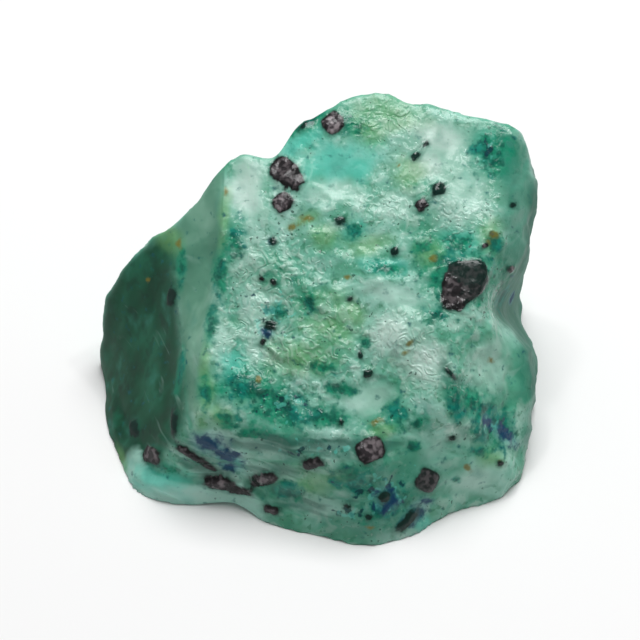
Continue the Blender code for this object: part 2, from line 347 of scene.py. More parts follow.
# Nodules: place, half length, half width, turn of the length from level in degrees, and tone, from
# 0 for black ones to 1 for those with a mauve-grey crystalline middle.
NODULES = (
    (-3.3, 33.9, 1.35, 1.15, -38, 0.3),
    (-2.5, 33.1, 0.95, 0.8, -38, 0.35),
    (-3.3, 30.9, 0.92, 0.88, 42, 1.0),
    (1.0, 38.3, 1.0, 0.92, 42, 0.95),
    (10.7, 32.4, 0.7, 0.55, 15, 0.0),
    (9.3, 30.6, 0.6, 0.5, 30, 0.7),
    (8.9, 35.0, 0.42, 0.4, 0, 0.0),
    (9.5, 36.1, 0.26, 0.2, 40, 0.0),
    (13.4, 24.6, 1.85, 1.35, 4, 0.12),
    (12.1, 23.2, 1.2, 1.9, -6, 0.3),
    (13.4, 23.2, 1.8, 0.9, 36, 0.2),
    (4.7, 8.4, 1.3, 1.1, 24, 0.6),
    (9.9, 5.8, 1.05, 0.98, 60, 0.22),
    (-0.7, 7.2, 1.0, 0.52, 12, 0.3),
    (-4.5, 3.1, 0.8, 0.42, -12, 0.4),
    (5.6, 4.2, 0.55, 0.45, 40, 0.0),
    (8.2, 2.2, 1.3, 0.42, 48, 0.0),
    (2.5, 3.6, 0.36, 0.3, 20, 0.1),
    (4.5, 2.6, 0.34, 0.3, 0, 0.0),
    (-9.2, 5.4, 1.5, 0.62, -12, 0.75),
    (-5.3, 6.0, 1.3, 0.6, 14, 0.6),
    (-7.3, 4.8, 1.3, 0.36, -6, 0.7),
    (-11.9, 8.1, 1.6, 0.36, -33, 0.7),
    (-10.2, 6.9, 1.1, 0.24, -30, 0.6),
    (-15.4, 8.1, 0.85, 0.78, -20, 0.5),
    (-16.9, 10.6, 0.45, 0.8, 8, 0.0),
    (-13.4, 10.9, 0.3, 1.3, 0, 0.0),
    (-13.7, 22.5, 0.42, 0.95, -6, 0.0),
    (-4.6, 20.0, 0.55, 0.4, -10, 0.0),
    (-5.0, 18.5, 0.3, 0.22, 60, 0.5),
    (-4.3, 23.7, 0.36, 0.24, -50, 0.2),
    (-5.3, 24.2, 0.28, 0.2, -30, 0.4),
    (-4.2, 27.6, 0.3, 0.42, 20, 0.0),
    (6.6, 26.6, 0.34, 0.5, 0, 0.0),
    (1.8, 29.1, 0.45, 0.33, 10, 0.0),
    (17.7, 30.9, 0.3, 0.24, 0, 0.1),
    (3.8, 17.3, 0.2, 0.42, 10, 0.0),
    (4.4, 15.2, 0.4, 0.36, 0, 0.0),
    (2.1, 11.2, 0.3, 0.26, 60, 0.0),
    (11.8, 15.7, 0.65, 0.22, -52, 0.0),
    (12.0, 9.3, 0.32, 0.24, 0, 0.0),
    (16.4, 7.2, 0.3, 0.24, 0, 0.2),
    (2.9, 22.1, 0.26, 0.22, 0, 0.1),
    (14.9, 27.1, 0.36, 0.25, 30, 0.5),
    (17.4, 24.8, 0.4, 0.32, 0, 0.7),
    (-1.6, 37.9, 0.5, 0.22, 30, 0.0),
)

# Stained patches and patches of painted shade, kind by kind: place, half length, half width, and turn of the
# length from level.
STAIN_AND_SHADE_PATCHES = {
    # nearly unstained mint-white chalcedony
    "pale": (
        (-6.6, 31.8, 1.8, 3.2, 0),
        (-7.0, 26.0, 1.6, 2.6, 0),
        (1.4, 32.0, 2.2, 1.2, 0),
        (10.8, 36.0, 4.8, 2.6, -20),
        (13.0, 31.8, 3.0, 3.0, 0),
        (6.8, 30.6, 1.8, 1.4, 0),
        (6.6, 22.8, 3.2, 0.9, -16),
        (6.4, 19.8, 2.6, 2.0, 30),
        (9.6, 16.6, 2.2, 2.2, -30),
        (7.8, 18.2, 3.0, 2.4, -40),
        (13.2, 20.6, 2.0, 0.7, 30),
        (13.0, 10.2, 1.2, 1.6, 60),
        (15.4, 16.4, 2.2, 2.2, 0),
        (4.4, 13.1, 2.4, 1.2, 15),
        (14.0, 5.6, 2.2, 1.2, 15),
        (-5.4, 20.6, 2.0, 2.6, 0),
        (-9.0, 18.6, 0.8, 2.6, -5),
        (-9.4, 22.8, 0.7, 2.2, -5),
    ),
    # milky white
    "milky": (
        (-6.8, 32.2, 1.4, 2.2, 0),
        (10.8, 36.8, 2.8, 1.1, -20),
        (9.6, 34.2, 1.6, 1.2, 0),
        (6.3, 19.6, 1.7, 1.4, 30),
        (9.4, 16.8, 1.5, 1.7, -30),
        (-13.0, 4.6, 3.0, 0.8, -8),
    ),
    # turquoise films of copper
    "turquoise": (
        (1.9, 35.0, 3.6, 1.7, 10),
        (3.6, 34.2, 1.4, 1.3, 0),
        (-2.0, 36.2, 2.0, 0.8, 30),
        (-14.4, 5.8, 3.2, 1.2, -12),
        (-7.8, 7.0, 1.4, 0.8, -20),
        (5.6, 25.4, 2.4, 0.7, -8),
        (3.2, 28.2, 1.0, 0.9, 0),
        (-8.0, 16.0, 1.3, 1.6, 0),
        (9.6, 1.9, 1.0, 0.7, 0),
        (15.2, 35.6, 1.5, 1.6, 0),
        (12.8, 27.4, 1.8, 1.2, 0),
    ),
    # yellow-green films
    "lime": (
        (6.2, 39.1, 3.2, 1.6, -5),
        (4.6, 37.4, 1.4, 1.6, 0),
        (-8.7, 29.6, 0.5, 2.4, -6),
        (4.4, 27.2, 2.2, 1.1, 15),
        (0.3, 28.0, 1.4, 1.0, 0),
        (0.8, 20.2, 2.8, 2.2, 0),
        (3.0, 20.8, 0.8, 1.8, 15),
        (-1.9, 16.9, 3.0, 1.6, 0),
        (-0.8, 5.4, 2.2, 1.2, -10),
        (0.8, 5.6, 1.4, 1.0, -10),
        (5.7, 10.4, 1.2, 0.7, 30),
        (-10.4, 12.6, 0.7, 2.4, -10),
        (-10.6, 16.6, 0.5, 2.0, -5),
        (15.8, 28.1, 1.3, 1.4, 0),
        (10.3, 26.4, 1.3, 1.1, 0),
        (-1.6, 29.4, 1.5, 0.5, 20),
        (8.0, 34.0, 1.5, 1.4, 0),
        (-13.8, 28.0, 1.1, 1.6, 40),
        (-18.2, 7.6, 0.4, 1.4, 20),
        (16.0, 7.6, 1.4, 0.8, 0),
        (-9.4, 11.6, 1.2, 1.0, 0),
    ),
    # dense blue-green grains
    "teal": (
        (0.4, 11.6, 1.8, 0.8, 0),
        (-6.6, 14.4, 2.6, 1.4, 0),
        (-3.8, 12.7, 2.6, 1.7, 0),
        (-2.6, 11.6, 1.8, 1.0, 0),
        (-8.4, 11.0, 1.0, 0.7, 0),
        (0.1, 15.8, 1.3, 0.5, -8),
        (1.8, 13.8, 1.1, 0.6, -10),
        (6.8, 11.9, 1.0, 1.0, 0),
        (15.2, 35.8, 1.7, 1.7, 0),
        (15.7, 34.9, 1.2, 1.2, 0),
        (9.1, 10.7, 0.7, 0.6, 0),
        (12.6, 5.6, 0.34, 0.3, 0),
        (8.5, 8.6, 0.5, 0.4, 0),
        (14.6, 8.4, 0.9, 0.5, 0),
        (16.0, 10.8, 2.2, 1.5, -40),
        (15.2, 12.0, 1.4, 1.2, 0),
        (15.0, 10.2, 1.0, 1.0, 0),
        (10.7, 20.9, 0.9, 0.7, 0),
        (13.0, 24.0, 2.8, 2.4, 0),
        (9.6, 27.4, 1.0, 0.6, 20),
        (12.2, 27.2, 1.2, 0.8, 0),
        (5.8, 25.2, 1.4, 0.45, -8),
        (3.2, 28.2, 0.8, 0.7, 0),
        (-7.9, 27.4, 0.8, 1.6, -15),
        (-9.0, 24.6, 0.6, 1.9, -5),
        (-9.9, 20.2, 0.5, 1.6, -8),
        (-10.2, 13.8, 0.5, 1.2, 0),
        (-4.0, 21.1, 0.7, 0.7, 0),
        (-1.2, 21.5, 0.7, 1.0, 20),
        (3.8, 18.5, 0.5, 0.5, 0),
        (-14.2, 6.8, 1.2, 0.3, -15),
        (3.0, 5.6, 2.0, 1.0, -20),
        (6.6, 3.4, 2.2, 1.3, 25),
        (-3.0, 4.6, 1.6, 0.8, 0),
        (-1.0, 38.6, 1.6, 0.6, 38),
        (3.2, 37.6, 1.3, 0.7, 0),
        (-12.6, 25.4, 0.36, 1.5, 0),
        (-12.9, 15.6, 0.3, 1.6, -8),
        (16.8, 22.6, 1.0, 1.6, 10),
        (12.5, 12.6, 0.7, 1.4, 20),
        (14.0, 12.9, 1.2, 0.7, -40),
        (-5.9, 9.8, 1.2, 0.4, 0),
        (16.2, 27.2, 0.7, 0.8, 0),
    ),
    # ochre grains
    "ochre": (
        (5.2, 11.2, 0.72, 0.34, 35),
        (7.75, 17.1, 0.36, 0.26, 30),
        (8.2, 18.0, 0.36, 0.22, 50),
        (15.7, 16.6, 0.42, 0.32, -40),
        (13.5, 6.7, 0.5, 0.26, -42),
        (-12.9, 27.3, 0.34, 0.5, 0),
        (-15.8, 24.0, 0.26, 0.26, 0),
        (-1.3, 29.7, 0.7, 0.3, 12),
        (-2.6, 28.9, 0.6, 0.3, 20),
        (10.2, 26.1, 0.42, 0.36, 0),
        (15.9, 28.3, 0.42, 0.36, 0),
        (15.2, 27.4, 0.3, 0.3, 0),
        (4.7, 1.3, 0.42, 0.24, 0),
        (7.3, 34.2, 0.3, 0.24, 0),
        (12.9, 36.6, 0.32, 0.24, 0),
        (-8.6, 31.9, 0.24, 0.6, 0),
        (-5.5, 15.2, 0.3, 0.3, 0),
        (2.4, 24.4, 0.4, 0.3, 0),
        (16.4, 7.8, 0.3, 0.24, 0),
    ),
    # azurite
    "azurite": (
        (-9.9, 8.9, 1.4, 0.7, -14),
        (-8.6, 7.9, 1.3, 0.5, -18),
        (17.0, 9.9, 1.3, 0.45, -40),
        (15.3, 11.0, 0.6, 0.40, -60),
        (17.6, 22.2, 0.42, 0.6, 20),
        (6.2, 4.0, 0.9, 0.9, 0),
        (-5.0, 19.4, 0.5, 0.4, -30),
        (-4.2, 27.5, 0.3, 0.3, 0),
        (8.8, 2.6, 1.4, 0.6, 45),
        (-8.2, 6.8, 0.8, 0.34, -10),
    ),
    # smooth and glassy, without crystals
    "glassy": (
        (4.6, 13.0, 3.0, 1.5, 15),
        (13.6, 6.2, 3.2, 1.8, 10),
        (17.4, 16.5, 2.0, 3.6, 0),
        (18.5, 30.5, 1.6, 8.0, 5),
        (12.0, 36.0, 3.6, 2.0, -20),
        (14.0, 32.4, 2.4, 1.6, 0),
        (7.0, 22.6, 3.0, 0.9, -16),
        (-6.9, 32.0, 1.8, 3.0, 0),
        (9.6, 8.0, 3.0, 1.8, 0),
        (-14.0, 5.6, 4.4, 1.8, -8),
        (-6.0, 4.0, 3.0, 1.6, 0),
        (1.5, 33.6, 3.6, 2.2, 10),
    ),
    # crusted with fine wriggling ridges of crystal
    "crusty": (
        (-4.8, 24.6, 3.8, 3.2, 0),
        (-1.4, 18.0, 4.8, 4.2, 0),
        (-5.8, 19.4, 2.6, 3.4, 0),
        (7.4, 18.6, 3.6, 2.8, 0),
        (9.8, 16.2, 2.8, 2.6, 0),
        (13.0, 31.0, 2.6, 2.4, 0),
        (5.2, 31.0, 2.0, 1.6, 0),
        (6.4, 38.4, 2.8, 1.4, 0),
        (13.6, 21.4, 2.4, 1.2, 20),
        (11.6, 9.4, 1.2, 1.8, 0),
        (0.4, 14.4, 2.6, 1.0, 0),
    ),
    # dotted with dark grains
    "dotted": (
        (5.8, 4.4, 4.4, 2.4, 10),
        (2.6, 3.0, 2.6, 1.4, 0),
        (-1.0, 8.6, 5.0, 0.9, -2),
        (-4.6, 21.0, 2.4, 3.2, 0),
        (-3.6, 12.6, 3.2, 1.8, 0),
        (15.8, 10.6, 2.0, 1.2, -40),
        (15.2, 35.7, 1.4, 1.4, 0),
    ),
    # streaked with thin level layers
    "banded": (
        (-6.2, 8.7, 5.4, 1.0, -3),
        (0.8, 8.9, 4.2, 0.8, 0),
        (-10.4, 6.6, 2.4, 0.9, -28),
        (-4.6, 6.6, 3.2, 0.8, -4),
        (-1.0, 3.6, 3.2, 0.9, -4),
    ),
    # duller, deeper green; by the notch on the right side and in the crease by the lobe it is painted shade,
    # and over the lower front partly so
    "deep_green_and_shade": (
        (18.6, 30.0, 1.8, 8.0, 5),
        (17.8, 25.0, 1.5, 3.6, 0),
        (19.0, 17.0, 0.9, 5.0, 0),
        (-1.0, 9.0, 6.5, 0.9, -2),
        (12.4, 13.4, 0.8, 3.0, 15),
        (-10.0, 8.0, 2.6, 1.0, -25),
        (5.6, 5.0, 5.0, 2.4, 10),
        (5.0, 2.0, 4.0, 1.8, 0),
    ),
}

# On the sides that the front view can't show, patches of the same kinds lie at random places:
# how many of each, and the least and most half length.
HIDDEN_STAINS = {
    "pale": (26, 2.0, 4.5),
    "milky": (14, 1.2, 3.4),
    "turquoise": (16, 1.2, 3.4),
    "lime": (24, 0.8, 2.6),
    "teal": (70, 0.4, 2.4),
    "ochre": (34, 0.25, 0.7),
    "azurite": (12, 0.4, 1.1),
    "glassy": (9, 2.0, 6.0),
    "crusty": (10, 2.0, 4.0),
    "dotted": (12, 1.5, 4.0),
    "banded": (10, 2.0, 4.5),
    "deep_green_and_shade": (14, 2.0, 5.0),
}
HIDDEN_NODULES = (46, 0.2, 1.7)
HIDDEN_SLIMNESS, HIDDEN_TURN = (0.4, 0.9), 60  # half width over half length, and most turn
HIDDEN_ROOM = 1.2  # how many half lengths they keep from the front
STAIN_SEED, NODULE_TONE_SEED, NODULE_SEED = 50, 70, 71


def view_places(points):
    """Each point's place in the front view, in perspective, and how near it is to the viewer."""
    off = points - VIEW_CENTRE
    nearness = off @ TOWARDS_VIEWER
    grow = VIEW_DISTANCE / (VIEW_DISTANCE - nearness)
    return np.stack([off[:, 0] * grow, VIEW_CENTRE_UP + off @ UP_THE_VIEW * grow], axis=1), nearness


SPOT_SLACK = 0.2  # millimetres; points about as near to a place as the nearest one count as on it
PATCH_DEPTH = 2.0  # how far a patch goes in from the surface, in times its longer half size
ELLIPSE, ROUNDED_BLOCK = 2.0, 3.6  # the powers that give a patch these outlines
FAR_OUTSIDE = -1.0  # a stain's field where no patch comes near
places, nearness = view_places(block)


def spot_in_view(right, up):
    """The surface point that shows at a place in the front view."""
    gap = np.hypot(places[:, 0] - right, places[:, 1] - up)
    return block[np.argmax(np.where(gap < gap.min() + SPOT_SLACK, nearness, -np.inf))]


def depth_in_patch(centre, out_way, half_length, half_width, turn, power):
    """How deep each point lies inside a patch: 1 at its centre, 0 at its edge and below 0 outside.

    The patch is a rounded block that faces out_way. Its edge is where the powers of the distances
    along its three ways, each over its half size, add up to 1.
    """
    across = np.cross((0.0, 0.0, 1.0), out_way)
    across /= np.linalg.norm(across)
    upward = np.cross(out_way, across)
    cosine, sine = math.cos(math.radians(turn)), math.sin(math.radians(turn))
    ways = np.stack([cosine * across + sine * upward, cosine * upward - sine * across, out_way], axis=1)
    through = PATCH_DEPTH * max(half_length, half_width)
    share = np.abs((block - centre) @ ways / (half_length, half_width, through))
    return 1.0 - (share**power).sum(axis=1) ** (1.0 / power)


def ways_out(points):
    """The way each point's surface faces: the cross products of its quads' diagonals, summed."""
    corners = points[quads]
    crossed = np.cross(corners[:, 2] - corners[:, 0], corners[:, 3] - corners[:, 1])
    sums = [np.bincount(quads.ravel(), np.repeat(part, 4), len(points)) for part in crossed.T]
    ways = np.stack(sums, axis=1)
    return ways / np.linalg.norm(ways, axis=1)[:, None]


TURNED_AWAY = -0.1  # cosine to the viewer below which a point is well out of sight
ABOVE_GROUND = 0.3  # millimetres
way_out = ways_out(block)
turned = way_out @ TOWARDS_VIEWER
seen = np.flatnonzero(turned > 0.0)
unseen = np.flatnonzero((turned < TURNED_AWAY) & (block[:, 2] > ABOVE_GROUND))


def hidden_patches(count, least, most, seed):
    """Random patches wholly on the sides that the front view can't show: centre, way out, sizes."""
    rng = np.random.default_rng(seed)
    for spot in rng.choice(unseen, count):
        half_length = least * (most / least) ** rng.random()
        half_width = half_length * rng.uniform(*HIDDEN_SLIMNESS)
        turn = rng.uniform(-HIDDEN_TURN, HIDDEN_TURN)
        room = np.linalg.norm(block[seen] - block[spot], axis=1).min()
        if room > half_length * HIDDEN_ROOM:
            yield block[spot], way_out[spot], half_length, half_width, turn


def stained(kind, seed):
    """The deepest that each point lies in any patch of one kind."""
    patches = [(spot_in_view(right, up), TOWARDS_VIEWER, *form) for right, up, *form in STAIN_AND_SHADE_PATCHES[kind]]
    patches += hidden_patches(*HIDDEN_STAINS[kind], seed)
    field = np.full(len(block), FAR_OUTSIDE)
    for patch in patches:
        field = np.maximum(field, depth_in_patch(*patch, ELLIPSE))
    return field


fields = {kind: stained(kind, STAIN_SEED + number) for number, kind in enumerate(STAIN_AND_SHADE_PATCHES)}

# The nodules' field is in millimetres inside the edge, so that every one has the same rim.
FAR_FROM_NODULE = -2.0
nodule = np.full(len(block), FAR_FROM_NODULE)
nodule_tone = np.zeros(len(block))
rng = np.random.default_rng(NODULE_TONE_SEED)
nodule_patches = [
    ((spot_in_view(right, up), TOWARDS_VIEWER, *form), tone) for right, up, *form, tone in NODULES
]
nodule_patches += [(patch, rng.random()) for patch in hidden_patches(*HIDDEN_NODULES, NODULE_SEED)]
for patch, tone in nodule_patches:
    inside = depth_in_patch(*patch, ROUNDED_BLOCK) * min(patch[2], patch[3])
    nodule_tone = np.where(inside > nodule, tone, nodule_tone)
    nodule = np.maximum(nodule, inside)
fields["nodule"] = nodule
fields["nodule_tone"] = nodule_tone

# The smooth faces, and the front part of the foot's ledge, which is painted paler than the rest: partly its
# own mint and partly painted light along its rim.
PALE_FOOT = (-5.0, -8.5)
fields["left_face"] = face_shares["left"] + face_shares["left foot"]
fields["strip"] = face_shares["left edge strip"]
fields["right_side"] = face_shares["right"]
fields["satin"] = fields["left_face"] + fields["strip"] + fields["right_side"]
fields["foot"] = foot_share(block) * ramp(*PALE_FOOT, block[:, 1])


# =============================================================================================
# The stone's skin and material
#
# The nodules stand a little proud of the break. The stone is translucent chalcedony, glossy like
# wet sugar where it is broken and satin on the smooth left face.
# =============================================================================================

NODULE_RISE = 0.22
NODULE_EDGE = (-0.05, 0.2)  # millimetres inside its edge between which a nodule rises
FACET_WIDTH, FACET_DEPTH, FACET_LEAN, FACET_MIDDLE = 0.9, 0.22, 0.8, 0.2
CLEAR_OF_GROUND = (0.0, 0.4)  # heights between which rises set in: the underside stays flat

raised = ramp(*NODULE_EDGE, nodule) * ramp(*CLEAR_OF_GROUND, block[:, 2])
facets = scars(block, FACET_WIDTH, seed=8, lean=FACET_LEAN) - FACET_MIDDLE
rise = raised * (NODULE_RISE + FACET_DEPTH * facets)
points = block + way_out * rise[:, None]

# The whole is stretched by a hair to fill the solid's box.
low, high = (np.array(corner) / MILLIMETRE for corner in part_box("phoenix_stone"))
start, end = points.min(axis=0), points.max(axis=0)
stretch = (high - low) / (end - start)
points = low + (points - start) * stretch

mesh = bpy.data.meshes.new("rough_stone")
mesh.from_pydata((points * MILLIMETRE).tolist(), [], quads.tolist())
mesh.shade_smooth()
for name, values in fields.items():
    mesh.attributes.new(name, "FLOAT", "POINT").data.foreach_set("value", values.astype(np.float32))
stone = bpy.data.objects.new("rough_stone", mesh)
bpy.context.collection.objects.link(stone)

# Chalcedony broken and left as it is. To the eye it is mottled from mint to teal by its copper
# salts, glints like wet sugar on the break, and has a satin skin on the smooth faces.
material = bpy.data.materials.new("broken chalcedony stained by copper")
material.use_nodes = True
mesh.materials.append(material)
tree = material.node_tree
shader = tree.nodes["Principled BSDF"]


def linear(hex_colour):
    """An sRGB hex colour as the linear RGBA that shaders take."""
    channels = [int(hex_colour[i : i + 2], 16) / 255.0 for i in (1, 3, 5)]
    return tuple(c / 12.92 if c <= 0.04045 else ((c + 0.055) / 1.055) ** 2.4 for c in channels) + (1.0,)


def add(kind, inputs=(), stops=(), **settings):
    """Add a node to the stone's material with its settings, and return its first live output.

    Inputs are pairs of a socket's number or name and what goes in: a number, a hex colour or an
    output to link from. Stops are pairs of place and hex colour along a colour ramp.
    """
    node = tree.nodes.new(kind)
    for key, value in settings.items():
        setattr(node, key, value)
    for key, value in inputs:
        if isinstance(value, bpy.types.NodeSocket):
            tree.links.new(value, node.inputs[key])
        else:
            node.inputs[key].default_value = linear(value) if isinstance(value, str) else value
    for _ in stops[2:]:
        node.color_ramp.elements.new(1.0)
    for number, (place, colour) in enumerate(stops):
        node.color_ramp.elements[number].position = place
        node.color_ramp.elements[number].color = linear(colour)
    return next(output for output in node.outputs if output.enabled)


# Places in millimetres, and the same places drawn about by a slow swirl, drawn out upright and
# drawn out level.
SWIRL_WIDTH, SWIRL_REACH = 5.0, 7.0
DRAWN_UPRIGHT, DRAWN_LEVEL = (1.0, 1.0, 0.14), (0.2, 0.2, 1.0)
object_place = add("ShaderNodeTexCoord").node.outputs["Object"]
mm = add("ShaderNodeVectorMath", ((0, object_place), ("Scale", 1.0 / MILLIMETRE)), operation="SCALE")
inputs = ("Vector", mm), ("Scale", 1.0 / SWIRL_WIDTH), ("Detail", 2.0)
swirl = add("ShaderNodeTexNoise", inputs).node.outputs["Color"]
swirl = add("ShaderNodeVectorMath", ((0, swirl), (1, (0.5,) * 3)), operation="SUBTRACT")
inputs = (0, swirl), (1, (SWIRL_REACH,) * 3), (2, mm)
swirled = add("ShaderNodeVectorMath", inputs, operation="MULTIPLY_ADD")
upright = add("ShaderNodeVectorMath", ((0, mm), (1, DRAWN_UPRIGHT)), operation="MULTIPLY")
level = add("ShaderNodeVectorMath", ((0, mm), (1, DRAWN_LEVEL)), operation="MULTIPLY")

# Uneven fields from 0 to 1: the width of their forms in millimetres, detail, curl, and places. The
# real crystals are smaller still, too fine to show, so the finest of these fields are drawn as
# coarse as they need to be.
NOISES = {
    "clouds": (6.0, 3.0, 0.0, swirled),
    "patchy": (2.4, 2.5, 0.0, mm),
    "hummocks": (1.3, 1.5, 0.4, mm),
    "fine hummocks": (0.5, 1.0, 0.0, mm),
    "grains": (0.8, 2.0, 0.0, mm),
    "specks": (0.62, 1.5, 0.0, mm),
    "fine specks": (0.42, 1.0, 0.0, mm),
    "wriggles": (1.15, 0.3, 0.5, mm),
    "gaps": (0.55, 1.0, 0.0, mm),
    "rim": (0.7, 1.5, 0.0, mm),
    "crystals": (0.6, 1.0, 0.0, mm),
    "streaks": (2.2, 1.5, 0.0, upright),
    "bands": (0.8, 1.5, 0.5, level),
}
NOISE_APART = (17.3, 5.9, 11.7)  # each field is taken from its own place in the noise
noise = {}
for number, (name, (width, detail, curl, where)) in enumerate(NOISES.items()):
    apart = tuple(step * number for step in NOISE_APART)
    where = add("ShaderNodeVectorMath", ((0, where), (1, apart)), operation="ADD")
    inputs = ("Vector", where), ("Scale", 1.0 / width), ("Detail", detail), ("Distortion", curl)
    noise[name] = add("ShaderNodeTexNoise", inputs)

# Folded to and fro, a noise turns into thin wriggling ridges side by side.
FOLD = 0.12
noise["wriggles"] = add("ShaderNodeMath", ((0, noise["wriggles"]), (1, FOLD)), operation="PINGPONG")

# The fields stored on the mesh, and one that is 0 everywhere.
stored = {name: add("ShaderNodeAttribute", attribute_name=name).node.outputs["Fac"] for name in fields}
stored["none"] = 0.0


def share_of(name, frayer, fray, none, full, most=1.0, curve="SMOOTHSTEP"):
    """How strongly a stored field has set in: 0 up to the value none, and most from full on.

    A noise, less a half and times fray, is added to the field first, which frays the edge.
    """
    inputs = (0, noise[frayer]), (1, fray), (2, stored[name])
    frayed = add("ShaderNodeMath", inputs, operation="MULTIPLY_ADD")
    half = fray / 2
    inputs = ("Value", frayed), ("From Min", none + half), ("From Max", full + half), ("To Max", most)
    return add("ShaderNodeMapRange", inputs, interpolation_type=curve)


# Clouds from sea green to pale mint on the break, deep green streaks on the smooth left face, grey
# green on the strip beside it. The left face's deep green is darkened further with painted shade.
# Teal grains and nodules vary in tone too.
GROUND_COLOURS = (
    (0.32, "#439679"),
    (0.43, "#5CA88D"),
    (0.52, "#74B7A0"),
    (0.61, "#8DC5B2"),
    (0.72, "#A5D3C5"),
)
LEFT_COLOURS_AND_SHADE = ((0.30, "#053F2A"), (0.50, "#0B5138"), (0.70, "#1A644A"))
STRIP_COLOURS = ((0.3, "#447C66"), (0.5, "#5E967E"), (0.7, "#88B9A2"))
TEAL_COLOURS = ((0.40, "#008272"), (0.50, "#006A54"), (0.60, "#088C68"))
NODULE_COLOURS = ((0.1, "#0A2C25"), (0.3, "#191A1A"))
ground = add("ShaderNodeValToRGB", ((0, noise["clouds"]),), GROUND_COLOURS)
left_colour_and_shade = add("ShaderNodeValToRGB", ((0, noise["streaks"]),), LEFT_COLOURS_AND_SHADE)
strip_colour = add("ShaderNodeValToRGB", ((0, noise["clouds"]),), STRIP_COLOURS)
teal_colour = add("ShaderNodeValToRGB", ((0, noise["patchy"]),), TEAL_COLOURS)
nodule_colour = add("ShaderNodeValToRGB", ((0, stored["nodule_tone"]),), NODULE_COLOURS)

# How sugary the break is: 0 on the smooth faces, and little on the glassy patches. Each of these has
# its field, the values between which it sets in, and how smooth it is.
SMOOTH_FRAY = 0.6
SMOOTH = (
    ("left_face", 0.20, 0.95, 1.0),
    ("strip", 0.25, 0.60, 1.0),
    ("right_side", 0.10, 0.70, 0.9),
    ("glassy", -0.6, 0.5, 0.8),
)
smooth = 0.0
for name, none, full, most in SMOOTH:
    share = share_of(name, "patchy", SMOOTH_FRAY, none, full, most)
    smooth = add("ShaderNodeMath", ((0, smooth), (1, share)), operation="MAXIMUM")
sugary = add("ShaderNodeMath", ((0, 1.0), (1, smooth)), operation="SUBTRACT")

# The crust of wriggling ridges, broken up by fine gaps: its field, the noise that frays its edge
# and by how much, and the values between which it sets in
CRUST = ("crusty", "gaps", 5.0, -0.3, 0.7)
crusty = share_of(*CRUST, sugary)
masks = {"everywhere": 1.0, "sugary break": sugary, "crusty break": crusty}

# The folded noise runs from 0 to FOLD, not round a half as the others do, so a half comes off the
# heights between which the ridges are painted paler: partly their whiter crystal, partly a painted
# highlight.
RIDGE_FOOT, RIDGE_TOP = 0.02 - 0.5, FOLD - 0.5

# Everything laid over the ground, in order. The first two paint shade into the hollows between the
# break's hummocks and a highlight on their tops. Each layer has its colour, the field that places it, the
# noise that frays its edge and by how much, the values between which it sets in, how strongly it covers, and
# where.
LAYERS = (
    # painted shade in the hollows between the hummocks
    ("#33855F", "none", "hummocks", -1.0, -0.02, 0.18, 0.40, "sugary break"),
    # painted highlight on the tops of the hummocks
    ("#D5EAE0", "none", "hummocks", 1.0, 0.02, 0.18, 0.30, "sugary break"),
    ("#1C7653", "none", "specks", 1.0, 0.10, 0.18, 0.50, "sugary break"),
    (strip_colour, "strip", "patchy", 0.3, 0.25, 0.70, 1.0, "everywhere"),
    # the left face's own deep green, darkened further with painted shade
    (left_colour_and_shade, "left_face", "streaks", 0.5, 0.15, 0.95, 1.0, "everywhere"),
    ("#2C7058", "left_face", "patchy", 4.0, 1.0, 1.8, 0.45, "everywhere"),
    ("#062B24", "left_face", "hummocks", -4.0, 1.0, 1.8, 0.40, "everywhere"),
    # paler mint on the foot's front, partly painted light along its rim
    ("#A8DACB", "foot", "patchy", 0.8, 0.2, 0.8, 0.85, "everywhere"),
    ("#BDDFD2", "pale", "patchy", 1.6, -0.5, 0.6, 0.50, "everywhere"),
    ("#E0F0E9", "milky", "patchy", 1.6, -0.5, 0.7, 0.42, "everywhere"),
    ("#58D0BC", "turquoise", "patchy", 2.6, -0.7, 0.8, 0.70, "everywhere"),
    ("#1B9474", "teal", "patchy", 2.2, -1.0, 0.5, 0.66, "everywhere"),
    ("#74AE66", "lime", "patchy", 2.2, -0.6, 0.8, 0.50, "everywhere"),
    # deeper green that also paints shade on the right side, in the lobe's crease and over the lower front
    ("#1F7760", "deep_green_and_shade", "patchy", 1.4, -0.7, 0.5, 0.62, "everywhere"),
    # painted shade on the right side face, a darker grey green than its own
    ("#2E5F50", "right_side", "patchy", 1.2, 0.0, 0.7, 0.68, "everywhere"),
    ("#9AC3B6", "banded", "bands", 4.0, -0.4, 0.5, 0.52, "everywhere"),
    ("#265A50", "banded", "bands", -4.0, -0.2, 0.7, 0.52, "everywhere"),
    # paler crystal ridges with a painted highlight along their crests
    ("#DDEEE4", "none", "wriggles", 1.0, RIDGE_FOOT, RIDGE_TOP, 0.20, "crusty break"),
    (teal_colour, "teal", "grains", 4.0, -0.6, 0.7, 0.87, "everywhere"),
    ("#00403C", "teal", "specks", 4.0, 0.3, 1.0, 0.50, "everywhere"),
    ("#0A3A40", "dotted", "grains", 5.0, 0.8, 1.3, 0.85, "everywhere"),
    # bright turquoise specks round the dark grains, partly painted cyan glints
    ("#63CDBD", "dotted", "rim", 5.0, 0.9, 1.4, 0.42, "everywhere"),
    ("#12382E", "none", "fine specks", 1.0, 0.21, 0.25, 0.70, "sugary break"),
    ("#6FA9B4", "azurite", "patchy", 2.0, -0.9, 0.5, 0.40, "everywhere"),
    ("#787028", "ochre", "grains", 2.6, -0.4, 0.8, 0.85, "everywhere"),
    ("#053A5E", "azurite", "grains", 3.4, -0.6, 0.5, 0.94, "everywhere"),
    ("#1C5A48", "nodule", "rim", 0.5, -0.35, 0.05, 0.5, "everywhere"),
    (nodule_colour, "nodule", "rim", 0.4, -0.08, 0.10, 1.0, "everywhere"),
)
colour = ground
for over, name, frayer, fray, none, full, most, where in LAYERS:
    most = add("ShaderNodeMath", ((0, masks[where]), (1, most)), operation="MULTIPLY")
    share = share_of(name, frayer, fray, none, full, most)
    colour = add("ShaderNodeMix", ((0, share), (6, colour), (7, over)), data_type="RGBA")

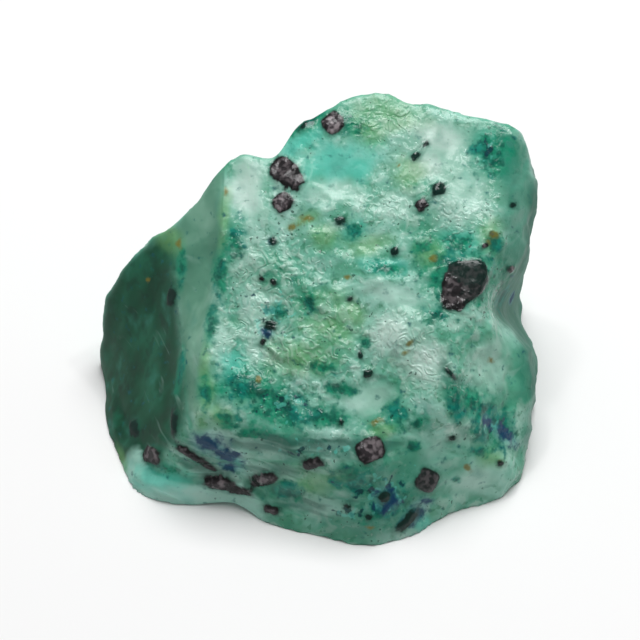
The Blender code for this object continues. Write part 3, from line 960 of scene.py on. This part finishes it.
# The nodules' mauve-grey crystalline middles, given as the crust is, with bright crystals in them
MIDDLE = ("nodule", "crystals", 0.8, 0.1, 0.45)
MIDDLE_COLOUR, CRYSTAL_COLOUR = "#403A3E", "#90878A"
CRYSTAL_FOOT, CRYSTAL_TOP = 0.46, 0.62  # between these values of the noise a crystal sets in
inside = share_of(*MIDDLE, curve="LINEAR")
inputs = ("Value", noise["crystals"]), ("From Min", CRYSTAL_FOOT), ("From Max", CRYSTAL_TOP)
crystals = add("ShaderNodeMapRange", inputs)
middle = add("ShaderNodeMath", ((0, inside), (1, stored["nodule_tone"])), operation="MULTIPLY")
bright = add("ShaderNodeMath", ((0, crystals), (1, middle)), operation="MULTIPLY")
colour = add("ShaderNodeMix", ((0, middle), (6, colour), (7, MIDDLE_COLOUR)), data_type="RGBA")
colour = add("ShaderNodeMix", ((0, bright), (6, colour), (7, CRYSTAL_COLOUR)), data_type="RGBA")
tree.links.new(colour, shader.inputs["Base Color"])

# Height in millimetres: hummocks like wet sugar, rounded wriggling ridges where it is crusty, and a
# twelfth of it all on the smooth faces
HUMMOCK, FINE_HUMMOCK, WRIGGLE, SMOOTH_SHARE = 0.22, 0.055, 0.045, 0.08
RIDGE_ROUND = 0.9  # part of the fold's height at which a ridge's top is already flat
inputs = ("Value", noise["wriggles"]), ("From Max", RIDGE_ROUND * FOLD), ("To Max", WRIGGLE)
ridges = add("ShaderNodeMapRange", inputs, interpolation_type="SMOOTHSTEP")
height = add("ShaderNodeMath", ((0, ridges), (1, crusty)), operation="MULTIPLY")
for name, tall in (("hummocks", HUMMOCK), ("fine hummocks", FINE_HUMMOCK)):
    height = add("ShaderNodeMath", ((0, noise[name]), (1, tall), (2, height)), operation="MULTIPLY_ADD")
kept = add("ShaderNodeMath", ((0, smooth), (1, SMOOTH_SHARE - 1.0), (2, 1.0)), operation="MULTIPLY_ADD")
height = add("ShaderNodeMath", ((0, height), (1, kept)), operation="MULTIPLY")
bump = add("ShaderNodeBump", (("Height", height), ("Strength", 1.0), ("Distance", MILLIMETRE)))
tree.links.new(bump, shader.inputs["Normal"])

# The break glints like wet sugar, more in some patches than in others. The smooth faces are satin.
LEAST_ROUGH, UNEVEN_ROUGH, SATIN_ROUGH = 0.07, 0.3, 0.45
inputs = (0, noise["patchy"]), (1, UNEVEN_ROUGH), (2, LEAST_ROUGH)
rough = add("ShaderNodeMath", inputs, operation="MULTIPLY_ADD")
inputs = (0, stored["satin"]), (1, SATIN_ROUGH), (2, rough)
rough = add("ShaderNodeMath", inputs, operation="MULTIPLY_ADD")
tree.links.new(rough, shader.inputs["Roughness"])

# Light goes about a millimetre into the stone, green the furthest, which softens its shadows. The
# index is below quartz's 1.54, because a break scattered with crystals mirrors less than a polish.
shader.inputs["Subsurface Weight"].default_value = 0.25
shader.inputs["Subsurface Radius"].default_value = (0.7, 1.0, 0.85)
shader.inputs["Subsurface Scale"].default_value = 0.9 * MILLIMETRE
shader.inputs["IOR"].default_value = 1.38

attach(stone, "root")
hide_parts("phoenix_stone")


# =============================================================================================
# Ground, light and camera
#
# The stone lies on matt white paper under a large soft light from above and behind, with three
# small lights that make its crystal faces glint.
# =============================================================================================

GROUND_WIDTH = 3.0  # metres
bpy.ops.mesh.primitive_plane_add(size=GROUND_WIDTH)
ground_plane = bpy.context.object
ground_plane.name = "ground"

# Uncoated paper: an even white that takes soft shadows and shows no reflection.
paper = bpy.data.materials.new("matt white paper")
paper.use_nodes = True
sheet = paper.node_tree.nodes["Principled BSDF"]
sheet.inputs["Base Color"].default_value = linear("#EFEFEF")
sheet.inputs["Roughness"].default_value = 0.7
ground_plane.data.materials.append(paper)

# A little white light from all round, as in a pale studio.
world = bpy.data.worlds.new("studio")
world.use_nodes = True
surroundings = world.node_tree.nodes["Background"]
surroundings.inputs["Color"].default_value = linear("#FFFFFF")
surroundings.inputs["Strength"].default_value = 0.22
bpy.context.scene.world = world


def soft_light(name, place, size, power):
    """A square area light at a place in metres, aimed at the stone. Its power is in watts."""
    lamp = bpy.data.lights.new(name, "AREA")
    lamp.size = size
    lamp.energy = power
    item = bpy.data.objects.new(name, lamp)
    item.location = place
    item.rotation_euler = Vector(place).to_track_quat("Z", "Y").to_euler()
    bpy.context.collection.objects.link(item)


soft_light("overhead softbox", (0.05, 0.18, 0.48), size=0.30, power=2.3)
soft_light("glint light", (0.02, -0.06, 0.54), size=0.04, power=0.18)
soft_light("side glint light", (0.20, 0.06, 0.46), size=0.04, power=0.2)
soft_light("left glint light", (-0.10, 0.10, 0.52), size=0.04, power=0.15)

# The camera has the front view. Colours show as they are given, with no film curve.
FRAME_WIDTH = 58.0  # millimetres across the picture at the stone
camera_data = bpy.data.cameras.new("camera")
camera = bpy.data.objects.new("camera", camera_data)
bpy.context.collection.objects.link(camera)
bpy.context.scene.camera = camera
aim_point = low + (VIEW_CENTRE - start) * stretch
camera.location = Vector((aim_point + VIEW_DISTANCE * TOWARDS_VIEWER) * MILLIMETRE)
camera.rotation_euler = Vector(TOWARDS_VIEWER).to_track_quat("Z", "Y").to_euler()
camera_data.lens = camera_data.sensor_width * VIEW_DISTANCE / FRAME_WIDTH
bpy.context.scene.view_settings.view_transform = "Standard"
